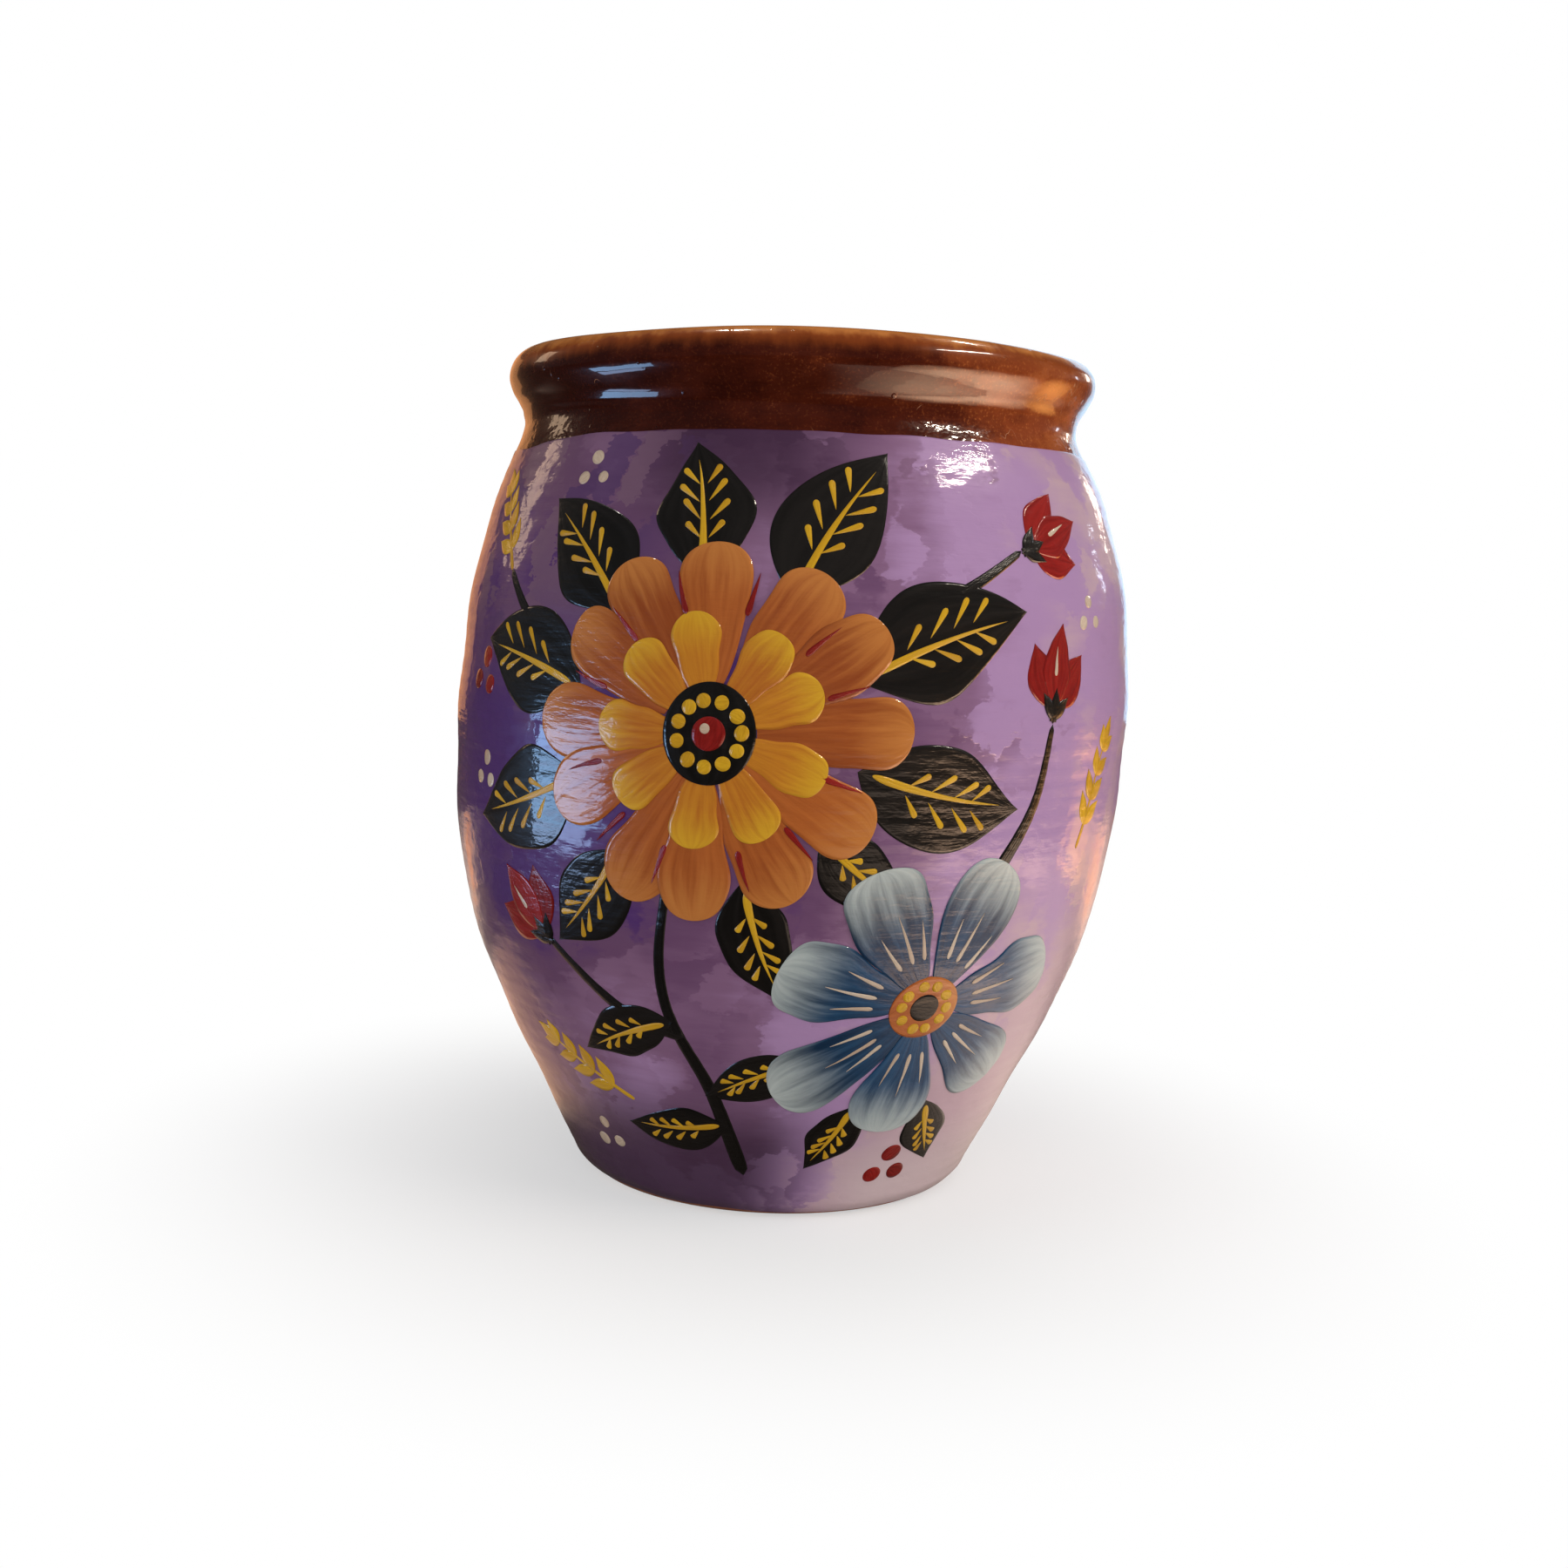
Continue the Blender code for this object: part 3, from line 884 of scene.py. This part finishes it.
def blue_flower(place, size):
    """A blue flower whose wide petals fade to a pale edge."""
    for index in range(7):
        angle = 360 * index / 7 + 12 + jitter(4)
        length = size * (0.80 + jitter(0.04))
        lay("blue", drawn(
            place, angle, size * 0.20, length, size * 0.72, petal_shape, 3 + index % 3, jitter(12)))
    for index in range(7):
        for lean in (-13, 0, 13):
            angle = 360 * index / 7 + 12 + lean + jitter(2)
            lay("cream", drawn(
                place, angle, size * 0.34, size * (0.34 - abs(lean) * 0.006), size * 0.030,
                comma_shape, 6, jitter(8)))
    lay("orange", dot(place, 0, 0, size * 0.215, 6))
    lay("black", dot(place, 0, 0, size * 0.095, 7))
    for index in range(10):
        angle = math.radians(360 * index / 10 + jitter(5))
        lay("yellow", dot(place, *(size * 0.155 * towards(angle)), size * 0.036, 7))


def branch(place, x, y, angle, length, width, shape, layer):
    """A straight stroke that sets out from a point x right of and y above a place on the wall."""
    u = along_stroke(length)
    line = np.array((x, y)) + u[:, None] * length * towards(math.radians(angle))
    half = np.maximum(shape(u) * width / 2, THINNEST)
    return stroke(place, line, half, layer)


def leaf(place, angle, start, length, width, bend):
    """A black leaf with a yellow rib and side veins."""
    lay("black", drawn(place, angle, start, length, width, leaf_shape, 1, bend))
    lay("yellow", drawn(
        place, angle, start + length * 0.08, length * 0.78, 1.15 * MM, comma_shape, 2, bend * 0.78))
    u = along_stroke(length)
    line, heading = course(u, angle, start, length, bend)
    for share in (0.25, 0.38, 0.51, 0.63):
        index = np.searchsorted(u, share)
        for side in (-1, 1):
            turn = heading[index] + side * math.radians(42 + jitter(4))
            reach = width * 0.36 * leaf_shape(share)
            outer = line[index] + reach * towards(turn)
            lay("yellow", branch(
                place, *outer, math.degrees(turn) + 180, reach * 0.80, 0.95 * MM, comma_shape, 2))


def bud(place, angle, size):
    """A red bud with a pale touch, in a black cup."""
    for lean, share in ((-30, 0.82), (30, 0.82), (0, 1.0)):
        lay("red", drawn(
            place, angle + lean, size * 0.10, size * share, size * 0.50, leaf_shape,
            3 if lean == 0 else 2, jitter(10)))
    lay("cream", drawn(place, angle + 4, size * 0.48, size * 0.34, size * 0.07, comma_shape, 4, 0))
    for lean in (-42, 0, 42):
        lay("black", drawn(place, angle + lean, -size * 0.08, size * 0.42, size * 0.17, leaf_shape, 4, 0))


def sprig(place, angle, size, pairs):
    """A yellow ear of short strokes on both sides of a thin stalk."""
    lay("yellow", drawn(place, angle, 0, size, 0.75 * MM, stem_shape, 1, 0))
    for index in range(pairs):
        share = 0.22 + 0.70 * index / (pairs - 1)
        x, y = size * share * towards(math.radians(angle))
        for side in (-1, 1):
            lay("yellow", branch(
                place, x, y, angle + side * 36 + jitter(4), size * (0.36 - 0.12 * share), 2.1 * MM,
                leaf_shape, 1 + index % 2))
    lay("yellow", drawn(place, angle, size * 0.93, size * 0.32, 2.1 * MM, leaf_shape, 2, 0))


def dots(place, colour, radius, spread):
    """Three dots in a triangle."""
    for index in range(3):
        angle = math.radians(90 + 120 * index + jitter(12))
        lay(colour, dot(place, *(spread * towards(angle)), radius * (1 + jitter(0.12)), 1))


def paint_garland():
    """Stems by the places they pass, leaves by angle, length, width and bend, then the flowers."""
    stems = (
        ((-6, 7 * MM), (-12, 20 * MM), (-19, 33 * MM), (-18, 46 * MM), (-15, 57 * MM)),
        ((-12, 20 * MM), (-2, 20 * MM), (10, 24 * MM)),
        ((12, 82 * MM), (24, 86 * MM), (37, 92 * MM)),
        ((34, 50 * MM), (41, 60 * MM), (43, 70 * MM)),
        ((-40, 76 * MM), (-48, 82 * MM), (-54, 87 * MM)),
        ((-16, 28 * MM), (-28, 31 * MM), (-42, 40 * MM)),
    )
    for places in stems:
        lay("black", stem(places, 2.2 * MM, 0.6))
    big = (
        (62, 22, 14.0, -18), (97, 18, 12.5, 14), (132, 20, 13.5, 20), (166, 22, 14.0, 18),
        (200, 22, 14.0, -16), (234, 17, 11.5, -20), (286, 17, 9.5, 16), (22, 25, 15.0, -22),
        (-12, 24, 14.0, 20), (-40, 15, 9.0, 14),
    )
    for angle, length, width, bend in big:
        leaf(ORANGE_FLOWER, angle, 19 * MM, length * MM, width * MM, bend)
    small = ((-72, 12, 7.5, 14), (-110, 12, 7.5, -16), (-150, 13, 7.5, 16))
    for angle, length, width, bend in small:
        leaf(BLUE_FLOWER, angle, 17 * MM, length * MM, width * MM, bend)
    leaf((-18, 30 * MM), 205, 0, 16 * MM, 8.0 * MM, 20)
    leaf((-9, 15 * MM), 188, 0, 15 * MM, 7.5 * MM, -24)
    orange_flower(ORANGE_FLOWER, 25 * MM)
    blue_flower(BLUE_FLOWER, 21.5 * MM)
    bud((38, 92 * MM), 22, 11 * MM)
    bud((43, 71 * MM), 82, 11 * MM)
    bud((-41, 39 * MM), 130, 11 * MM)
    sprig((-54, 87 * MM), 125, 14 * MM, 4)
    sprig((-30, 17 * MM), 150, 15 * MM, 4)
    sprig((54, 53 * MM), 70, 15 * MM, 4)
    for azimuth, height in ((-38, 100), (53, 84), (-57, 60), (-42, 10)):
        dots((azimuth, height * MM), "cream", 0.9 * MM, 1.9 * MM)
    for azimuth, height in ((-59, 73), (30, 8)):
        dots((azimuth, height * MM), "red", 1.3 * MM, 2.3 * MM)


# Scene


def light(name, azimuth, elevation, distance, width, height, colour, radiance, glint=False, fill=False,
          target=(0.0, 0.0, POT_HEIGHT / 2), spread=180):
    """A soft panel that faces a point of the pot. Degrees, metres, and the brightness a mirror would show.

    A glint shows only as a reflection in the varnish and the glaze, and a fill shows in none.
    """
    az, el = math.radians(azimuth), math.radians(elevation)
    way = Vector((math.sin(az) * math.cos(el), -math.cos(az) * math.cos(el), math.sin(el)))
    panel = bpy.data.lights.new(name, "AREA")
    panel.shape = "RECTANGLE"
    panel.size = width
    panel.size_y = height
    panel.color = colour
    panel.energy = radiance * math.pi * width * height
    panel.spread = math.radians(spread)
    made = bpy.data.objects.new(name, panel)
    made.location = Vector(target) + way * distance
    made.rotation_euler = way.to_track_quat("Z", "Y").to_euler()
    made.visible_camera = False
    made.visible_diffuse = not glint
    made.visible_glossy = not fill
    bpy.context.scene.collection.objects.link(made)


def under_lip(azimuth):
    """A point on the neck, under the rolled lip."""
    turn, radius, height = math.radians(azimuth), 41 * MM, 112 * MM
    return (radius * math.sin(turn), -radius * math.cos(turn), height)


def studio():
    """Soft panels that light the pot, panels and cards that only its gloss mirrors, and a dim room."""
    light("right_panel", 70, 30, 0.85, 0.60, 0.50, (1.0, 0.94, 0.88), 4.0, fill=True)
    light("left_panel", -62, 34, 0.90, 0.50, 0.40, (0.92, 0.96, 1.0), 1.7, fill=True)
    light("top_panel", 0, 84, 0.85, 0.70, 0.70, SOFT_WHITE, 0.9, fill=True)
    light("front_fill", 0, 25, 1.00, 0.90, 0.70, SOFT_WHITE, 1.3, fill=True)
    light("back_fill", 180, 25, 1.00, 0.90, 0.70, SOFT_WHITE, 0.8, fill=True)
    light("window_upper", -69, -5, 0.20, 0.100, 0.030, (0.34, 0.60, 1.0), 18.0, glint=True)
    light("window_lower", -72, -14, 0.20, 0.075, 0.026, (0.42, 0.61, 1.0), 15.5, glint=True)
    light("left_door", -119, 21, 0.80, 0.12, 0.20, (1.0, 0.69, 0.46), 4.7, glint=True)
    light("right_strip", 73, 45, 0.72, 0.28, 0.018, (1.0, 0.88, 0.74), 170.0, glint=True)
    light("right_spot", 143.5, 15, 0.80, 0.06, 0.10, (1.0, 0.84, 0.70), 10.0, glint=True)
    light("right_pane", 128, 12, 0.80, 0.03, 0.05, (0.78, 0.88, 1.0), 12.0, glint=True)
    light("right_rim", 160, 11, 0.82, 0.26, 0.42, (0.46, 0.76, 1.0), 2.1, glint=True)
    light("left_rim", -154, 4, 0.82, 0.34, 0.40, (1.0, 0.40, 0.14), 1.15, glint=True)
    for number, (wall, card) in enumerate(((24.5, 56), (32, 75), (41, 95))):
        light(f"low_card_{number}", card, -50, 0.11, 0.075, 0.085, TABLE_GLOW, 0.30, glint=True,
              target=under_lip(wall), spread=40)
        light(f"table_card_{number}", card, -31, 0.17, 0.110, 0.130, TABLE_GLOW, 0.50, glint=True,
              target=under_lip(wall), spread=36)
    light("table_ember", 119, -20, 0.17, 0.060, 0.100, (1.0, 0.42, 0.10), 0.22, glint=True,
          target=under_lip(54), spread=30)
    light("crest_left", -133, 72.6, 0.80, 0.07, 0.07, LAMP_WHITE, 90.0, glint=True)
    light("crest_right", 137.5, 56, 0.80, 0.05, 0.05, LAMP_WHITE, 90.0, glint=True)
    world = bpy.data.worlds.new("room")
    world.use_nodes = True
    tree = world.node_tree
    room = tree.nodes["Background"]
    room.inputs["Color"].default_value = (0.14, 0.136, 0.134, 1.0)
    white = tree.nodes.new("ShaderNodeBackground")
    white.inputs["Color"].default_value = (1.0, 1.0, 1.0, 1.0)
    rays = tree.nodes.new("ShaderNodeLightPath")
    both = tree.nodes.new("ShaderNodeMixShader")
    tree.links.new(rays.outputs["Is Camera Ray"], both.inputs[0])
    tree.links.new(room.outputs[0], both.inputs[1])
    tree.links.new(white.outputs[0], both.inputs[2])
    tree.links.new(both.outputs[0], tree.nodes["World Output"].inputs["Surface"])
    bpy.context.scene.world = world


def sweep():
    """The floor, which curves up behind the pot."""
    front, back, rise, bend = -2.2, 1.2, 2.4, 0.5
    angle = np.linspace(0, math.pi / 2, 16)
    corner = np.column_stack([back + bend * np.sin(angle), bend - bend * np.cos(angle)])
    line = np.vstack([[(front, 0.0)], corner, [(back + bend, rise)]])
    across = np.linspace(-2.6, 2.6, 9)
    points = np.array([(x, y, z) for y, z in line for x in across])
    index = np.arange(len(points)).reshape(len(line), len(across))
    faces = np.stack([index[:-1, :-1], index[:-1, 1:], index[1:, 1:], index[1:, :-1]], axis=-1).reshape(-1, 4)
    made = mesh_object("sweep", points, faces.tolist(), pale_sweep())


def pale_sweep():
    """Pale and matt near the pot, where it takes the shadow, and plain white further off.

    The varnish mirrors it as a table in a dim room, with sunlit patches to the right, the left and behind.
    """
    finish = Finish("pale_sweep", Roughness=0.9)
    finish.shader.inputs["Base Color"].default_value = (0.90, 0.90, 0.90, 1.0)
    finish.shader.inputs["Specular IOR Level"].default_value = 0.0
    rays = finish.node("ShaderNodeLightPath").outputs
    x, y, _ = finish.node("ShaderNodeSeparateXYZ", {0: finish.place}).outputs
    far = finish.node("ShaderNodeVectorMath", {0: finish.place}, operation="LENGTH").outputs["Value"]
    right = finish.between(x, 0.016, 0.062)
    right = finish.times(right, finish.between(finish.total((y, 1.0), (x, -0.25)), 0.055, -0.020))
    right = finish.times(right, finish.between(far, 0.255, 0.215))
    aside = finish.math("ABSOLUTE", x)
    behind = finish.between(finish.total((y, 1.0), (aside, -0.3)), 0.0, 0.15)
    behind = finish.times(behind, finish.between(far, 0.42, 0.20))
    ember = finish.between(finish.total((y, 1.0), (aside, -0.62), (x, 0.10)), 0.0, 0.05)
    ember = finish.times(ember, finish.between(finish.total((y, 1.0), (aside, -1.1)), 0.06, -0.02))
    ember = finish.times(ember, finish.between(far, 0.36, 0.28))
    ember = finish.times(ember, finish.between(far, 0.13, 0.20))
    left = finish.between(x, 0.0, -0.030)
    left = finish.times(left, finish.between(finish.total((y, 1.0), (aside, -0.55)), -0.050, -0.030))
    left = finish.times(left, finish.between(far, 0.034, 0.044))
    left = finish.times(left, finish.between(far, 0.120, 0.094))
    warmth = finish.total((ember, 1.0), (left, 0.5))
    tint = finish.mix(warmth, (1.0, 0.77, 0.62), (1.0, 0.40, 0.14))
    lit = finish.total((right, 1.6), (behind, 0.8), (ember, 1.9), (left, 0.95))
    table = finish.node("ShaderNodeEmission", {"Color": tint, "Strength": finish.math("ADD", lit, 0.08)})
    in_gloss = finish.math("MAXIMUM", rays["Is Glossy Ray"], rays["Is Transmission Ray"])
    inputs = {0: in_gloss, 1: finish.shader.outputs[0], 2: table.outputs[0]}
    mirrored = finish.node("ShaderNodeMixShader", inputs)
    white = finish.node("ShaderNodeEmission")
    to_camera = finish.times(rays["Is Camera Ray"], finish.between(far, 0.032, 0.11, 0.52, 1.0))
    inputs = {0: to_camera, 1: mirrored.outputs[0], 2: white.outputs[0]}
    seen = finish.node("ShaderNodeMixShader", inputs)
    finish.link(seen.outputs[0], finish.tree.nodes["Material Output"].inputs["Surface"])
    return finish.material


def camera():
    lens = bpy.data.cameras.new("camera")
    lens.sensor_width = CAMERA_SENSOR
    lens.lens = CAMERA_LENS
    made = bpy.data.objects.new("camera", lens)
    level = Matrix.Rotation(math.pi / 2 - CAMERA_PITCH, 4, "X")
    roll = Matrix.Rotation(CAMERA_ROLL, 4, "Z")
    made.matrix_world = Matrix.Translation(CAMERA_PLACE) @ level @ roll
    bpy.context.scene.collection.objects.link(made)
    bpy.context.scene.camera = made


def dress(piece, node=None):
    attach(piece, "root")
    if node:
        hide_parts(node)


dress(pot_clay(red_clay()), "clay_body")
dress(pot_glaze(brown_glaze()), "brown_glaze")
dress(pot_paint(purple_paint()), "purple_paint")

paint_garland()
paints = {
    "black": ("black_leaves", "black_paint", brushed(
        "black_paint", (0.004, 0.0035, 0.003), (0.011, 0.009, 0.008))),
    "orange": ("orange_petals", "orange_paint", brushed(
        "orange_paint", (0.27, 0.058, 0.012), (0.45, 0.120, 0.022), (0.52, 0.185, 0.040), 0.55, 1.05)),
    "gold": ("inner_petals", "orange_paint", brushed(
        "gold_paint", (0.42, 0.120, 0.014), (0.56, 0.215, 0.016), (0.66, 0.36, 0.020), 0.45, 1.1)),
    "yellow": ("yellow_strokes", "yellow_paint", brushed(
        "yellow_paint", (0.50, 0.255, 0.008), (0.68, 0.390, 0.014))),
    "red": ("red_buds", "red_paint", brushed("red_paint", (0.150, 0.004, 0.003), (0.300, 0.010, 0.007))),
    "blue": ("blue_petals", "blue_paint", brushed(
        "blue_paint", (0.0050, 0.0240, 0.0600), (0.0180, 0.0780, 0.1750), (0.47, 0.52, 0.50), 0.42, 1.12)),
    "cream": ("cream_touches", "cream_paint", brushed("cream_paint", (0.50, 0.36, 0.26), (0.66, 0.54, 0.42))),
}
for colour, (name, slot, finish) in paints.items():
    dress(painted(name, garland[colour], finish))

camera()
studio()
sweep()
bpy.context.scene.view_settings.view_transform = "Standard"
